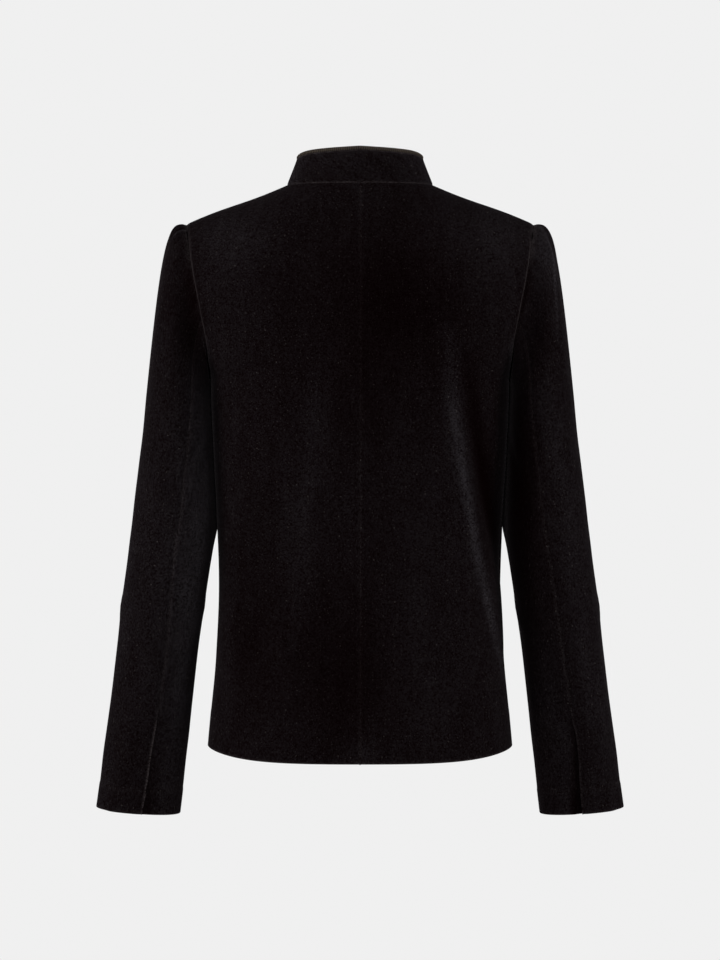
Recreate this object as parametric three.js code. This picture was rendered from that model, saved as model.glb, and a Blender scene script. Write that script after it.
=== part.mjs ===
// A stand collar blazer in its hollow, worn shape.
// Millimetres, +Z up, front towards -Y, +X to the wearer's left. The origin is in the middle of the body, at the
// height of the shoulder points.
// Every cloth piece is a wall. Its outer face comes from a surface function, its inner face lies WALL inside it.
import * as THREE from 'three';

// Cloth and seams
const WALL = 2;
const COLLAR_WALL = 2.6;
const SEAM_GAP = 0.3;
const SLEEVE_SEAM_GAP = 0.45;
const SEAM_REACH = 0.5;

// Shoulder and neck
const SHOULDER = { x: 183.9, z: 2 };
const NECK = { x: 78, z: 42.5 };
const NECK_BACK = { y: 64, z: 40 };
const NECK_FRONT = { y: 72, z: -31 };
const NECK_DIP = 1.15;
const SHOULDER_ROUNDING = 75;
const SHOULDER_CURVE = 0.02;

// Body
const UNDERARM_Z = -165;
const SQUARENESS = 2.35;
const HEM = { back: -558.5, side: -549, front: -553, turnIn: 4 };
const LAP = { width: 15, out: 2.9, rampStart: 20, rampEnd: 46 };

// Counts of rows and columns in the cloth
const BODY_ROWS = 11;
const YOKE_ROWS = 12;
const NECK_COLUMNS = 6;
const SIDE_COLUMNS = 8;
const BODY_COLUMNS = NECK_COLUMNS + SIDE_COLUMNS;
const CAP_ROWS = 8;
const UNDER_COLUMNS = 9;

// Fastening and edging
const BUTTON = {
  radius: 10,
  thickness: 4,
  dish: 1.2,
  bevel: 1.2,
  rim: 2,
  shankRadius: 2.8,
  shankHeight: 2,
  segments: 16,
};
const BUTTON_TOP_Z = -52;
const BUTTON_PITCH = 74;
const BUTTON_COUNT = 5;
const EDGING = { radius: 1.5, sides: 7, gap: 0.7 };
const COLLAR_END_X = 2;

// Level sections of the body: half width, and how far the back and the front stand from the middle plane.
// Above the underarm the width is that of the whole form, which the armhole cuts off.
const bodySection = table(['z', 'width', 'back', 'front'], [
  [-600, 165.0, 108, 118],
  [-556, 161.5, 106, 116],
  [-520, 158.3, 102, 112],
  [-455, 152.1, 94, 107],
  [-388, 148.9, 89, 106],
  [-320, 151.0, 89, 112],
  [-250, 154.5, 94, 122],
  [-200, 156.8, 98, 126],
  [-165, 157.5, 100, 124],
  [-141, 167.5, 101, 118],
  [-110, 181.0, 101, 108],
  [-85, 190.0, 100, 99],
  [-50, 196.0, 96, 87],
  [-20, 198.0, 90, 77],
  [10, 198.0, 82, 67],
  [45, 198.0, 73, 58],
]);

// The armhole's edge on the back and the front panel
const armholeEdge = table(['z', 'back', 'front'], [
  [-165.0, 157.5, 157.5],
  [-158.0, 157.7, 157.2],
  [-141.0, 159.3, 156.6],
  [-122.0, 161.2, 156.8],
  [-104.0, 164.6, 158.2],
  [-82.7, 168.5, 161.0],
  [-64.7, 172.2, 164.8],
  [-39.0, 176.8, 171.0],
  [-9.5, 181.4, 179.4],
  [2.0, 183.9, 183.9],
]);

// Level sections of the left sleeve from the cuff to the underarm, the right one mirrored.
// The seam columns are angles round the sleeve from its outer side towards the back. open is how far the right
// vent stands open, lift and lap say how much of the vent a row has, and full is how far the sleeve's inner front
// swells towards the body.
const SLEEVE_COLUMNS = [
  'row', 'z', 'x', 'y', 'width', 'depth', 'rise', 'leftSeam', 'rightSeam', 'open', 'lift', 'lap', 'full',
];
const sleeveSection = table(SLEEVE_COLUMNS, [
  [0, -623.8, 238.8, -43, 44.8, 37.5, 0.08, 97, 105, 9.3, 1, 1, 0],
  [1, -595.0, 234.9, -40, 44.5, 38, 0.08, 99, 99.7, 6.3, 1, 1, 0],
  [2, -565.0, 231.1, -33, 44.3, 39, 0.08, 100, 96.3, 5, 1, 1, 0],
  [3, -536.0, 226.8, -26, 43.9, 40.5, 0.075, 101.5, 92.5, 2.5, 1, 1, 0],
  [4, -522.0, 224.9, -23, 43.6, 41, 0.07, 102.5, 91, 0, 1, 0, 0],
  [5, -496.0, 221.4, -18, 43.2, 42.5, 0.06, 104, 92, 0, 0, 0, 0],
  [6, -448.0, 215.3, -10, 43.0, 45, 0.04, 105.5, 94, 0, 0, 0, 0],
  [7, -396.0, 208.4, -4, 43.9, 48, 0.02, 103, 95, 0, 0, 0, 0],
  [8, -345.0, 201.2, 0, 44.0, 50.5, 0, 99.5, 96, 0, 0, 0, 4],
  [9, -303.0, 197.2, 0, 42.9, 53, 0, 103.5, 99, 0, 0, 0, 9.5],
  [10, -255.0, 195.0, -1, 39.4, 57, 0, 109, 104, 0, 0, 0, 6.4],
  [11, -218.0, 193.7, -3, 36.2, 60, 0, 114.5, 110, 0, 0, 0, 4.6],
  [12, -184.0, 192.9, -4, 33.9, 62.5, 0, 121, 116, 0, 0, 0, 4],
]);
const UNDERARM_ROW = 12;
const SLEEVE_TOP_ROW = UNDERARM_ROW + CAP_ROWS;
const SLEEVE_SQUARENESS = 2.15;
const ARMHOLE_SEAM = { back: 105, front: -135 };
const CUFF_FRONT_SEAM = -128;
const VENT = { lift: WALL + 0.7, band: 26, fade: 14, lap: 24 };
const FULLNESS = { angle: 212, half: 18 };

// How the sleeve's head leaves the armhole, from the top (0) over the back or front to the underarm (180):
// out, away from the middle plane and up, in millimetres, and how much of its height rises straight.
const headHandle = table(['angle', 'out', 'away', 'up', 'straight'], [
  [0, 20.5, 0, 1, 0.92],
  [30, 19.5, 1, 0, 0.85],
  [60, 15, -3, -4, 0.7],
  [90, 10, -10, -14, 0.5],
  [120, 5, -8, -16, 0.42],
  [150, 2, -2, -10, 0.36],
  [180, 0.6, 0, -6, 0.33],
]);
const HEAD_LEAN = -0.1;
const HEAD_SIDE_SHARE = 0.6;
const HEAD_TOP_REACH = 45;
// At the back the sleeve's edge lies this deep under the back panel's edge, between these angles
const SEAM_SINK = { depth: 2.2, from: 32, full: 62, fading: 115, to: 160 };

// The pleats in the sleeves' heads. side is 1 for the left sleeve, angle runs from the top towards the back.
// above and below are the half widths of a pleat's two sides in degrees.
const PLEATS = named(['side', 'angle', 'above', 'below', 'height', 'length'], [
  [1, -52, 6, 9, 2.0, 55],
  [1, -33, 5, 9, 2.6, 60],
  [1, -14, 5, 8, 2.2, 50],
  [1, 10, 6, 5, 1.6, 36],
  [1, 28, 5, 11, 3.4, 40],
  [1, 50, 8, 8, 2.0, 40],
  [-1, -50, 6, 9, 2.2, 60],
  [-1, -30, 5, 9, 2.6, 64],
  [-1, -10, 5, 8, 2.0, 50],
  [-1, 13, 6, 6, 2.2, 56],
  [-1, 36, 8, 7, 3.0, 96],
  [-1, 56, 8, 8, 1.6, 60],
]);
const PLEAT = { seamShare: 0.35, growth: 9 };
const PLEAT_COLUMN_STEP = 5;
const PLAIN_COLUMN_STEP = 15;
const PLEATED_HALF_ANGLE = 60;

// The body's drape: soft ridges and hollows between two points of a panel, x towards the wearer's left.
const DRAPE = named(['face', 'x0', 'z0', 'x1', 'z1', 'bow', 'height', 'half'], [
  [1, -90, -150, -150, -450, 4, 4.2, 14],
  [1, -116, -160, -162, -410, 4, -3.2, 13],
  [1, 44, -150, 60, -400, -12, 2.6, 22],
  [1, 108, -380, 96, -510, 6, -2.6, 18],
  [1, 138, -350, 128, -545, 4, 2.4, 10],
  [1, -70, -430, -62, -540, 0, -1.8, 20],
  [-1, 88, -210, 112, -430, 8, 3.4, 16],
  [-1, -84, -205, -118, -440, -8, 3.6, 16],
  [-1, 62, -330, 52, -540, 0, -2.4, 20],
  [-1, -60, -340, -66, -540, 0, -2.2, 20],
]);

// The stand collar: from the back (0) to the centre front (180), its lean towards the neck and its rise.
const collarShape = table(['angle', 'lean', 'rise'], [
  [0, 9, 34.3],
  [50, 11, 31.4],
  [90, 11.2, 28.2],
  [135, 9, 30.5],
  [180, 6, 32],
]);
const COLLAR_ROWS = 4;
const COLLAR_HOLLOW = 1.05;

const BACK = 1;
const FRONT = -1;
const EPSILON = 0.02;

// Rows of numbers as objects with the named columns
function named(columns, rows) {
  return rows.map((row) => Object.fromEntries(columns.map((column, i) => [column, row[i]])));
}

// A smooth curve through each column of a table, read at any value of the first column without overshoot
function table(columns, rows) {
  const keys = rows.map((row) => row[0]);
  const slopes = columns.map((_, column) => slopesOf(keys, rows.map((row) => row[column])));
  return (key) => {
    const at = THREE.MathUtils.clamp(key, keys[0], keys[keys.length - 1]);
    const i = Math.min(keys.findLastIndex((value) => value <= at), keys.length - 2);
    const step = keys[i + 1] - keys[i];
    const t = (at - keys[i]) / step;
    const value = (column) => {
      const [from, to] = [rows[i][column], rows[i + 1][column]];
      return hermite(t, step, from, to, slopes[column][i], slopes[column][i + 1]);
    };
    return Object.fromEntries(columns.map((name, column) => [name, value(column)]));
  };
}

function hermite(t, step, from, to, slopeFrom, slopeTo) {
  const t2 = t * t;
  const t3 = t2 * t;
  const straight = (2 * t3 - 3 * t2 + 1) * from + (3 * t2 - 2 * t3) * to;
  return straight + step * ((t3 - 2 * t2 + t) * slopeFrom + (t3 - t2) * slopeTo);
}

function slopesOf(keys, values) {
  const chord = (i) => (values[i + 1] - values[i]) / (keys[i + 1] - keys[i]);
  return values.map((_, i) => {
    if (i === 0) return chord(0);
    if (i === values.length - 1) return chord(i - 1);
    const before = chord(i - 1);
    const after = chord(i);
    return before * after > 0 ? (2 * before * after) / (before + after) : 0;
  });
}

function lerp(from, to, t) {
  return from + (to - from) * t;
}

// 1 at from, 0 at to, smooth between them
function fade(value, from, to) {
  return 1 - THREE.MathUtils.smoothstep(value, from, to);
}

// A power that keeps its sign, for superellipses
function signedPower(value, power) {
  return Math.sign(value) * Math.pow(Math.abs(value), power);
}

// Body

function neckDepth(face, x) {
  const reach = face === BACK ? NECK_BACK.y : NECK_FRONT.y;
  return reach * Math.sqrt(Math.max(0, 1 - (x / NECK.x) ** 2));
}

// Height of the neckline or of the shoulder seam at x
function topHeight(face, x) {
  if (x >= NECK.x) {
    const share = (x - NECK.x) / (SHOULDER.x - NECK.x);
    return lerp(NECK.z, SHOULDER.z, share + SHOULDER_CURVE * Math.sin(2 * Math.PI * share));
  }
  if (face === BACK) return lerp(NECK_BACK.z, NECK.z, (x / NECK.x) ** 2);
  return NECK.z - (NECK.z - NECK_FRONT.z) * Math.pow(neckDepth(FRONT, x) / NECK_FRONT.y, NECK_DIP);
}

function formDepth(face, x, z) {
  const section = bodySection(z);
  const around = Math.max(0, 1 - Math.pow(x / section.width, SQUARENESS));
  return (face === BACK ? section.back : section.front) * Math.pow(around, 1 / SQUARENESS);
}

// Depth of the body's surface at (x, z), rounded in to the shoulder seam and to the neckline
function surfaceDepth(face, x, z) {
  const top = topHeight(face, x);
  const climb = THREE.MathUtils.clamp((z - top + SHOULDER_ROUNDING) / SHOULDER_ROUNDING, 0, 1);
  const kept = x < NECK.x ? neckDepth(face, x) / formDepth(face, x, top) : 0;
  return formDepth(face, x, z) * Math.sqrt(Math.max(0, 1 - climb * climb * (1 - kept * kept)));
}

// How far the drape moves the surface out at a point of a panel
function drapeAt(face, x, z) {
  let moved = 0;
  for (const fold of DRAPE) {
    if (fold.face !== face) continue;
    const along = (z - fold.z0) / (fold.z1 - fold.z0);
    if (along <= 0 || along >= 1) continue;
    const middle = lerp(fold.x0, fold.x1, along) + fold.bow * Math.sin(Math.PI * along);
    moved += fold.height * Math.sin(Math.PI * along) * Math.exp(-(((x - middle) / fold.half) ** 2));
  }
  return moved;
}

function hemHeight(face, turn) {
  return lerp(face === BACK ? HEM.back : HEM.front, HEM.side, Math.sin(turn) ** HEM.turnIn);
}

// Angle round the body, from the centre to the side seam, of a column
const neckTurn = Math.asin(Math.pow(0.43, SQUARENESS / 2));
function columnTurn(column) {
  if (column <= NECK_COLUMNS) return (neckTurn * column) / NECK_COLUMNS;
  return lerp(neckTurn, Math.PI / 2, (column - NECK_COLUMNS) / SIDE_COLUMNS);
}

function columnShare(column) {
  return signedPower(Math.sin(columnTurn(column)), 2 / SQUARENESS);
}

// A point of the neckline or of the shoulder seam, seen from the front
function topPoint(face, column) {
  if (column <= NECK_COLUMNS) {
    const x = NECK.x * Math.sin((Math.PI / 2) * (column / NECK_COLUMNS));
    return [x, topHeight(face, Math.abs(x))];
  }
  const neckShare = columnShare(NECK_COLUMNS);
  const x = lerp(NECK.x, SHOULDER.x, (columnShare(column) - neckShare) / (1 - neckShare));
  return [x, topHeight(face, x)];
}

function armholePoint(face, turn) {
  const z = lerp(UNDERARM_Z, SHOULDER.z, (1 - Math.cos(turn)) / 2);
  const edge = armholeEdge(z);
  return [face === BACK ? edge.back : edge.front, z];
}

// Places a point of the upper body between its four edges, seen from the front
function yokePoint(face, row, column) {
  const turn = (Math.PI * row) / YOKE_ROWS;
  const up = lerp(row / YOKE_ROWS, (1 - Math.cos(turn)) / 2, 0.5);
  const share = columnShare(column);
  const [topX, topZ] = topPoint(face, column);
  const [armX, armZ] = armholePoint(face, turn);
  const [, centreZ] = topPoint(face, 0);
  const sideX = bodySection(UNDERARM_Z).width;
  const x = lerp(share * sideX, topX, up) + share * (armX - lerp(sideX, SHOULDER.x, up));
  const bent = lerp(UNDERARM_Z, topZ, up) + share * (armZ - lerp(UNDERARM_Z, SHOULDER.z, up));
  return [x, row === 0 ? UNDERARM_Z : Math.min(bent, Math.max(topZ, centreZ))];
}

// The body's outer surface. Rows run up from the hem, columns from the centre line to the side.
// side is 1 on the left and -1 on the right.
function bodyPoint(face, side, row, column) {
  let x;
  let y;
  let z;
  if (row <= BODY_ROWS) {
    const turn = columnTurn(column);
    z = lerp(hemHeight(face, turn), UNDERARM_Z, row / BODY_ROWS);
    const section = bodySection(z);
    x = section.width * signedPower(Math.sin(turn), 2 / SQUARENESS);
    y = (face === BACK ? section.back : section.front) * signedPower(Math.cos(turn), 2 / SQUARENESS);
  } else {
    [x, z] = yokePoint(face, row - BODY_ROWS, column);
    y = surfaceDepth(face, Math.abs(x), z);
  }
  const out = new THREE.Vector2(x / bodySection(z).width ** 2, y / 100 ** 2).normalize();
  const moved = drapeAt(face, side * x, z);
  return new THREE.Vector3(x + out.x * moved, face * (y + out.y * moved), z);
}

function frontLap(x) {
  return LAP.out * fade(x, LAP.rampStart, LAP.rampEnd);
}

// Cloth walls

// Points and normals of one surface on a grid. pointAt takes a row and a column, which may both be fractions.
function sample(rows, columns, pointAt, flip) {
  const lastRow = rows[rows.length - 1];
  const lastColumn = columns[columns.length - 1];
  const between = (low, value, high) =>
    THREE.MathUtils.clamp(value, Math.min(low, high), Math.max(low, high));
  return rows.map((row) =>
    columns.map((column) => {
      const step = (offset) => pointAt(row, between(columns[0], column + offset, lastColumn));
      const climb = (offset) => pointAt(between(rows[0], row + offset, lastRow), column);
      const along = step(EPSILON).sub(step(-EPSILON));
      const up = climb(EPSILON).sub(climb(-EPSILON));
      const normal = along.cross(up).normalize().multiplyScalar(flip);
      return { point: pointAt(row, column), normal };
    }),
  );
}

// Turns a normal into the plane of a seam, so that the walls on its two sides meet face to face
function levelNormals(grid) {
  for (const { point, normal } of grid.flat()) {
    if (Math.abs(point.x) < SEAM_REACH) normal.x = 0;
    if (Math.abs(point.y) < SEAM_REACH) normal.y = 0;
    normal.normalize();
  }
  return grid;
}

// Both faces of a wall, with its edges drawn in by half a seam gap
function wallFaces(grid, thickness, inset) {
  const outer = grid.map((row) => row.map(({ point }) => point.clone()));
  const beneath = ({ point, normal }) => point.clone().addScaledVector(normal, -thickness);
  const inner = grid.map((row) => row.map(beneath));
  const lastRow = grid.length - 1;
  const lastColumn = grid[0].length - 1;
  const shift = (row, column, toRow, toColumn, amount) => {
    const inward = grid[toRow][toColumn].point.clone().sub(grid[row][column].point).setLength(amount);
    outer[row][column].add(inward);
    inner[row][column].add(inward);
  };
  grid.forEach((_, row) => {
    if (inset.start) shift(row, 0, row, 1, inset.start);
    if (inset.end) shift(row, lastColumn, row, lastColumn - 1, inset.end);
  });
  grid[0].forEach((_, column) => {
    if (inset.top) shift(lastRow, column, lastRow - 1, column, inset.top);
  });
  return { outer, inner };
}

// A closed wall from a grid of points and normals
function wallGeometry(grid, thickness, inset = {}) {
  const { outer, inner } = wallFaces(grid, thickness, inset);
  const rows = grid.length;
  const columns = grid[0].length;
  const positions = [...outer.flat(), ...inner.flat()].flatMap((p) => [p.x, p.y, p.z]);
  const out = (row, column) => row * columns + column;
  const into = (row, column) => rows * columns + row * columns + column;
  const faces = [];
  const quad = (a, b, c, d) => faces.push(a, b, c, a, c, d);
  for (let row = 0; row < rows - 1; row++) {
    for (let column = 0; column < columns - 1; column++) {
      quad(out(row, column), out(row, column + 1), out(row + 1, column + 1), out(row + 1, column));
      quad(into(row, column), into(row + 1, column), into(row + 1, column + 1), into(row, column + 1));
    }
    quad(out(row, 0), out(row + 1, 0), into(row + 1, 0), into(row, 0));
    const end = columns - 1;
    quad(out(row, end), into(row, end), into(row + 1, end), out(row + 1, end));
  }
  for (let column = 0; column < columns - 1; column++) {
    const top = rows - 1;
    quad(out(0, column), into(0, column), into(0, column + 1), out(0, column + 1));
    quad(out(top, column), out(top, column + 1), into(top, column + 1), into(top, column));
  }
  const geometry = new THREE.BufferGeometry();
  geometry.setAttribute('position', new THREE.Float32BufferAttribute(positions, 3));
  geometry.setIndex(faces);
  return geometry;
}

// The same wall on the other side of the body, with its faces still pointing out
function mirrored(geometry) {
  geometry.scale(-1, 1, 1);
  const index = geometry.getIndex().array;
  for (let i = 0; i < index.length; i += 3) [index[i], index[i + 1]] = [index[i + 1], index[i]];
  return geometry;
}

function range(count, from = 0) {
  return Array.from({ length: count }, (_, i) => from + i);
}

function bodyPanel(face, side) {
  const columns = range(BODY_COLUMNS + 1);
  if (face === FRONT) columns.unshift(-1);
  const surface = face === FRONT ? lappedPoint : backPoint;
  const pointAt = (row, column) => surface(side, row, column);
  const grid = levelNormals(sample(range(BODY_ROWS + YOKE_ROWS + 1), columns, pointAt, -face));
  const half = SEAM_GAP / 2;
  const inset = { start: face === BACK ? half : 0, end: half, top: half };
  if (face === BACK) grid.forEach((row) => row.reverse());
  const geometry = wallGeometry(grid, WALL, inset);
  return side > 0 ? geometry : mirrored(geometry);
}

function backPoint(side, row, column) {
  return bodyPoint(BACK, side, row, column);
}

// A front reaches LAP.width past the centre. The wearer's right front lies over the left one there.
function lappedPoint(side, row, column) {
  const point = bodyPoint(FRONT, side, row, Math.max(column, 0));
  if (column < 0) {
    const mirror = bodyPoint(FRONT, side, row, 1);
    point.x = column * LAP.width;
    point.y = lerp(point.y, mirror.y, -column * (LAP.width / mirror.x));
    point.z = lerp(point.z, mirror.z, -column * (LAP.width / mirror.x));
  }
  if (side < 0) point.y -= frontLap(point.x);
  return point;
}

// Sleeves

function degrees(angle) {
  return THREE.MathUtils.degToRad(angle);
}

// A point of a sleeve's ring, moved out by lift and by the fullness of its inner front
function sleeveRing(angle, row, lift = 0) {
  const ring = sleeveSection(row);
  const turn = degrees(angle);
  const x = ring.width * signedPower(Math.cos(turn), 2 / SLEEVE_SQUARENESS);
  const y = ring.depth * signedPower(Math.sin(turn), 2 / SLEEVE_SQUARENESS);
  const fromFull = (angle < 0 ? angle + 360 : angle) - FULLNESS.angle;
  const moved = lift + ring.full * Math.exp(-((fromFull / FULLNESS.half) ** 2));
  const outward = new THREE.Vector3(Math.cos(turn) / ring.width, Math.sin(turn) / ring.depth, 0).normalize();
  return new THREE.Vector3(ring.x + x, ring.y + y, ring.z + ring.rise * x).addScaledVector(outward, moved);
}

// The armhole's edge at an angle round the sleeve, a seam's width outside the body
function armholeSeam(angle) {
  const face = Math.sin(degrees(angle)) >= 0 ? BACK : FRONT;
  const turn = Math.acos(THREE.MathUtils.clamp(-Math.cos(degrees(angle)), -1, 1));
  const [x, z] = armholePoint(face, turn);
  const sink = face === BACK ? seamSink(wrapped(angle)) : 0;
  return new THREE.Vector3(x + SLEEVE_SEAM_GAP, face * (surfaceDepth(face, x, z) - sink), z);
}

function seamSink(angle) {
  const grown = 1 - fade(angle, SEAM_SINK.from, SEAM_SINK.full);
  return SEAM_SINK.depth * grown * fade(angle, SEAM_SINK.fading, SEAM_SINK.to);
}

// How far the pleats stand out at an angle round the head, at a distance from the armhole
function pleatLift(side, angle, fromSeam) {
  const atSeam = lerp(PLEAT.seamShare, 1, Math.min(fromSeam / PLEAT.growth, 1));
  let lift = 0;
  for (const pleat of PLEATS) {
    if (pleat.side !== side) continue;
    const half = angle < pleat.angle ? pleat.above : pleat.below;
    const across = Math.exp(-(((angle - pleat.angle) / half) ** 2));
    lift += pleat.height * across * fade(fromSeam, PLEAT.growth, pleat.length) * atSeam;
  }
  return lift;
}

// The sleeve's head, from the underarm ring over the pleated top to the armhole
function sleeveHead(side, angle, ringAngle, share) {
  const from = sleeveRing(ringAngle, UNDERARM_ROW);
  const to = armholeSeam(angle);
  const handle = headHandle(Math.abs(wrapped(angle)));
  const face = Math.sign(Math.sin(degrees(angle))) || 1;
  const rise = (to.z - from.z) * handle.straight;
  const start = from.clone().add(new THREE.Vector3(HEAD_LEAN * rise * Math.cos(degrees(angle)), 0, rise));
  const end = to.clone().add(new THREE.Vector3(handle.out, face * handle.away, handle.up));
  const point = new THREE.CubicBezierCurve3(from, start, end, to).getPoint(share);
  const sideways = HEAD_SIDE_SHARE * Math.cos(degrees(angle));
  const upward = Math.max(0, 1 - point.distanceTo(to) / HEAD_TOP_REACH);
  const outward = new THREE.Vector3(sideways, Math.sin(degrees(angle)), upward);
  return point.addScaledVector(outward.normalize(), pleatLift(side, wrapped(angle), point.distanceTo(to)));
}

function wrapped(angle) {
  return angle > 180 ? angle - 360 : angle;
}

// Raises the upper sleeve's edge over the lap of the vent
function ventLift(ring, fromSeam) {
  return VENT.lift * ring.lift * fade(fromSeam, VENT.band, VENT.band + VENT.fade);
}

// A point of a sleeve panel. armAngle is the column's angle at the armhole, ringAngle that on the rings below.
function sleevePoint(side, row, armAngle, ringAngle, lift) {
  if (row <= UNDERARM_ROW) return sleeveRing(ringAngle, row, lift);
  return sleeveHead(side, armAngle, ringAngle, (row - UNDERARM_ROW) / CAP_ROWS);
}

// Angles of the seams at a row, and the turn that one millimetre of cloth takes there
function seamAngles(row, side) {
  const ring = sleeveSection(Math.min(row, UNDERARM_ROW));
  const perMillimetre = 180 / (Math.PI * lerp(ring.width, ring.depth, 0.5));
  const seam = side > 0 ? ring.leftSeam : ring.rightSeam;
  const edge = side > 0 ? seam : seam - ring.open * perMillimetre;
  const front = lerp(CUFF_FRONT_SEAM, ARMHOLE_SEAM.front, Math.min(row, UNDERARM_ROW) / UNDERARM_ROW);
  return { ring, seam, edge, front, perMillimetre };
}

// Columns round the upper sleeve from its back seam to its front seam, close together over the pleats
function upperColumns() {
  const angles = [];
  let angle = -ARMHOLE_SEAM.back;
  while (angle <= -ARMHOLE_SEAM.front) {
    angles.push(angle);
    const pleated = angle >= -PLEATED_HALF_ANGLE && angle < PLEATED_HALF_ANGLE;
    angle += pleated ? PLEAT_COLUMN_STEP : PLAIN_COLUMN_STEP;
  }
  return angles;
}

function upperSleeve(side) {
  const pointAt = (row, column) => {
    const { ring, edge, front, perMillimetre } = seamAngles(row, side);
    const share = (ARMHOLE_SEAM.back + column) / (ARMHOLE_SEAM.back - ARMHOLE_SEAM.front);
    const angle = lerp(edge, front, share);
    return sleevePoint(side, row, -column, angle, ventLift(ring, (edge - angle) / perMillimetre));
  };
  const grid = sample(range(SLEEVE_TOP_ROW + 1), upperColumns(), pointAt, -1);
  return finishSleeve(grid.map((row) => row.reverse()), side);
}

function underSleeve(side) {
  const columns = range(UNDER_COLUMNS + 1);
  const pointAt = (row, column) => {
    const { ring, seam, front, perMillimetre } = seamAngles(row, side);
    const start = seam - VENT.lap * perMillimetre * ring.lap;
    const share = column / UNDER_COLUMNS;
    const armAngle = lerp(ARMHOLE_SEAM.back, 360 + ARMHOLE_SEAM.front, share);
    return sleevePoint(side, row, armAngle, lerp(start, 360 + front, share), 0);
  };
  const grid = sample(range(SLEEVE_TOP_ROW + 1), columns, pointAt, 1);
  return finishSleeve(grid, side);
}

function finishSleeve(grid, side) {
  const half = SEAM_GAP / 2;
  const geometry = wallGeometry(grid, WALL, { start: half, end: half });
  return side > 0 ? geometry : mirrored(geometry);
}

// Collar

// A point of the neckline at a turn round the neck, from the centre back (0) to the centre front (180)
function necklinePoint(turn) {
  const face = turn <= 90 ? BACK : FRONT;
  const x = NECK.x * Math.sin(degrees(turn));
  return new THREE.Vector3(x, face * neckDepth(face, x), topHeight(face, x));
}

function collarPoint(row, turn) {
  const side = Math.sign(turn) || 1;
  const base = necklinePoint(Math.abs(turn));
  const shape = collarShape(Math.abs(turn));
  const share = row / COLLAR_ROWS;
  const inward = new THREE.Vector2(-base.x / NECK.x ** 2, -base.y / NECK_BACK.y ** 2).normalize();
  const lean = shape.lean * (1 - Math.pow(1 - share, COLLAR_HOLLOW));
  const z = base.z + SEAM_GAP + shape.rise * share;
  return new THREE.Vector3(side * (base.x + inward.x * lean), base.y + inward.y * lean, z);
}

const collarEndTurn = 180 - THREE.MathUtils.radToDeg(Math.asin(COLLAR_END_X / NECK.x));
const collarStep = 90 / NECK_COLUMNS;
function collarTurns() {
  const half = range(2 * NECK_COLUMNS).map((i) => i * collarStep);
  half.push(collarEndTurn);
  return [...half.slice(1).reverse().map((turn) => -turn), ...half];
}

function collarGrid() {
  return sample(range(COLLAR_ROWS + 1), collarTurns(), collarPoint, -1);
}

function collar() {
  return wallGeometry(collarGrid().map((row) => row.reverse()), COLLAR_WALL);
}

// A ribbed cord that lies along the collar's top edge
function collarEdging() {
  const top = collarGrid()[COLLAR_ROWS];
  const route = top.map(({ point, normal }, i) => {
    const along = top[Math.min(i + 1, top.length - 1)].point.clone().sub(top[Math.max(i - 1, 0)].point);
    const upward = along.cross(normal).normalize();
    const middle = point.clone().addScaledVector(normal, -COLLAR_WALL / 2);
    return middle.addScaledVector(upward, Math.sign(upward.z) * (EDGING.radius + EDGING.gap));
  });
  const circle = new THREE.Shape(
    range(EDGING.sides).map((i) => {
      const turn = (2 * Math.PI * i) / EDGING.sides;
      return new THREE.Vector2(EDGING.radius * Math.cos(turn), EDGING.radius * Math.sin(turn));
    }),
  );
  const extrudePath = new THREE.CatmullRomCurve3(route);
  return new THREE.ExtrudeGeometry(circle, { extrudePath, steps: 2 * route.length, bevelEnabled: false });
}

// Buttons

function buttonGeometry() {
  const { radius, thickness, dish, bevel, rim, shankRadius, shankHeight, segments } = BUTTON;
  const outline = [
    [0, 0],
    [shankRadius, 0],
    [shankRadius, shankHeight],
    [radius - bevel, shankHeight],
    [radius, shankHeight + bevel],
    [radius - bevel / 2, shankHeight + thickness - bevel / 2],
    [radius - rim, shankHeight + thickness],
    [radius - 2 * rim, shankHeight + thickness - dish],
    [0, shankHeight + thickness - dish],
  ];
  return new THREE.LatheGeometry(outline.map(([x, y]) => new THREE.Vector2(x, y)), segments);
}

// Sets a button on the over-lapping front, square to the cloth
function placeButton(mesh, z) {
  const depth = (height) => surfaceDepth(FRONT, 0, height) + LAP.out;
  const step = BUTTON.radius;
  const slope = (depth(z + step) - depth(z - step)) / (2 * step);
  const outward = new THREE.Vector3(0, -1, -slope).normalize();
  const seat = depth(z) + SEAM_GAP + shankDrop(depth, z, slope);
  mesh.position.set(0, -seat, z);
  mesh.quaternion.setFromUnitVectors(new THREE.Vector3(0, 1, 0), outward);
}

// How far the cloth bulges past its tangent under a button's shank
function shankDrop(depth, z, slope) {
  const reach = BUTTON.shankRadius;
  const past = [z - reach, z + reach].map((height) => depth(height) - depth(z) - slope * (height - z));
  return Math.max(0, ...past);
}

// Assembly

const velvet = { color: 0x0c0a0b, roughness: 0.85, metalness: 0 };
const cord = { color: 0x2a211a, roughness: 0.6, metalness: 0.1 };
const horn = { color: 0x111010, roughness: 0.4, metalness: 0 };

function piece(name, geometry, finish) {
  const mesh = new THREE.Mesh(geometry, new THREE.MeshStandardMaterial(finish));
  mesh.name = name;
  return mesh;
}

const blazer = new THREE.Group();
for (const [word, side] of [['left', 1], ['right', -1]]) {
  blazer.add(piece(`back_${word}`, bodyPanel(BACK, side), velvet));
  blazer.add(piece(`front_${word}`, bodyPanel(FRONT, side), velvet));
  blazer.add(piece(`upper_sleeve_${word}`, upperSleeve(side), velvet));
  blazer.add(piece(`under_sleeve_${word}`, underSleeve(side), velvet));
}
blazer.add(piece('collar', collar(), velvet));
blazer.add(piece('collar_edging', collarEdging(), cord));
for (const number of range(BUTTON_COUNT, 1)) {
  const button = piece(`button_${number}`, buttonGeometry(), horn);
  placeButton(button, BUTTON_TOP_Z - BUTTON_PITCH * (number - 1));
  blazer.add(button);
}

export default blazer;
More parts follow.
